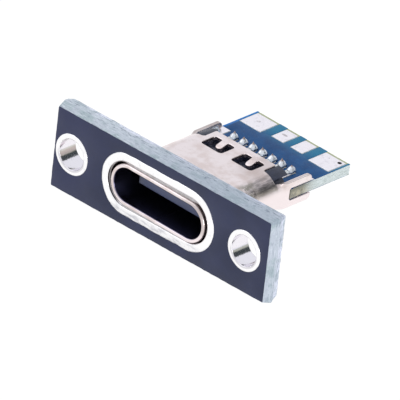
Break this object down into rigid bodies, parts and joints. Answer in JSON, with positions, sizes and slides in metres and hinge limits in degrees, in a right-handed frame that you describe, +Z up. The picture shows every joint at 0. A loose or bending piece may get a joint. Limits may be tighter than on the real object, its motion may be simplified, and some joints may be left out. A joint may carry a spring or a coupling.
{
  "type": "panel-mount usb-c socket",
  "caption": "USB-C receptacle gripping a small breakout board with solder pads, soldered into the plated slot of a slim plate with a screw hole at each end.",
  "frame": {"origin": "midway between the two screw holes, on the front face of the plate", "axes": "+X to the right along the line of the screw holes, +Y the way a plug is pushed in, towards the board, +Z up, towards the board face with the wire pads"},
  "size_m": [0.0207, 0.0147, 0.0066],
  "materials": {
    "plate_laminate": "snapped glass-fibre laminate, pale grey-blue",
    "black_lacquer": "satin black solder lacquer",
    "tinned_rings": "hot-tinned copper, bright and slightly wavy",
    "solder": "bright solder",
    "shell_steel": "satin nickel-plated steel sheet",
    "moulding": "black moulded plastic",
    "mid_plate_steel": "plain steel",
    "board_laminate": "routed glass-fibre laminate, pale olive",
    "blue_lacquer": "glossy blue solder lacquer",
    "tinned_pads": "flat tinned copper",
    "contact_alloy": "tinned copper alloy",
    "chip_resistor": "dark glazed body with tinned ends"
  },
  "bodies": {
    "root": {"plate_laminate": "plate_laminate", "plate_lacquer_front": "black_lacquer", "plate_lacquer_rear": "black_lacquer", "slot_plating": "tinned_rings", "screw_hole_plating_left": "tinned_rings", "screw_hole_plating_right": "tinned_rings", "slot_solder": "solder", "shell": "shell_steel", "housing": "moulding", "tongue": "moulding", "mid_plate": "mid_plate_steel", "board_laminate": "board_laminate", "board_lacquer_top": "blue_lacquer", "board_lacquer_bottom": "blue_lacquer", "lands_top": "tinned_pads", "lands_bottom": "tinned_pads", "wire_pad_left": "tinned_pads", "wire_pad_inner_left": "tinned_pads", "wire_pad_inner_right": "tinned_pads", "wire_pad_right": "tinned_pads", "chip_resistor_left": "chip_resistor", "chip_resistor_right": "chip_resistor", "contact_top_1": "contact_alloy", "contact_top_2": "contact_alloy", "contact_top_3": "contact_alloy", "contact_top_4": "contact_alloy", "contact_top_5": "contact_alloy", "contact_top_6": "contact_alloy", "contact_top_7": "contact_alloy", "contact_bottom_1": "contact_alloy", "contact_bottom_2": "contact_alloy", "contact_bottom_3": "contact_alloy", "contact_bottom_4": "contact_alloy", "contact_bottom_5": "contact_alloy", "contact_bottom_6": "contact_alloy", "contact_bottom_7": "contact_alloy", "solder_top_1": "solder", "solder_top_2": "solder", "solder_top_3": "solder", "solder_top_4": "solder", "solder_top_5": "solder", "solder_top_6": "solder", "solder_top_7": "solder", "solder_bottom_1": "solder", "solder_bottom_2": "solder", "solder_bottom_3": "solder", "solder_bottom_4": "solder", "solder_bottom_5": "solder", "solder_bottom_6": "solder", "solder_bottom_7": "solder", "leg_solder_top_left": "solder", "leg_solder_top_right": "solder", "leg_solder_bottom_left": "solder", "leg_solder_bottom_right": "solder"}
  },
  "joints": []
}
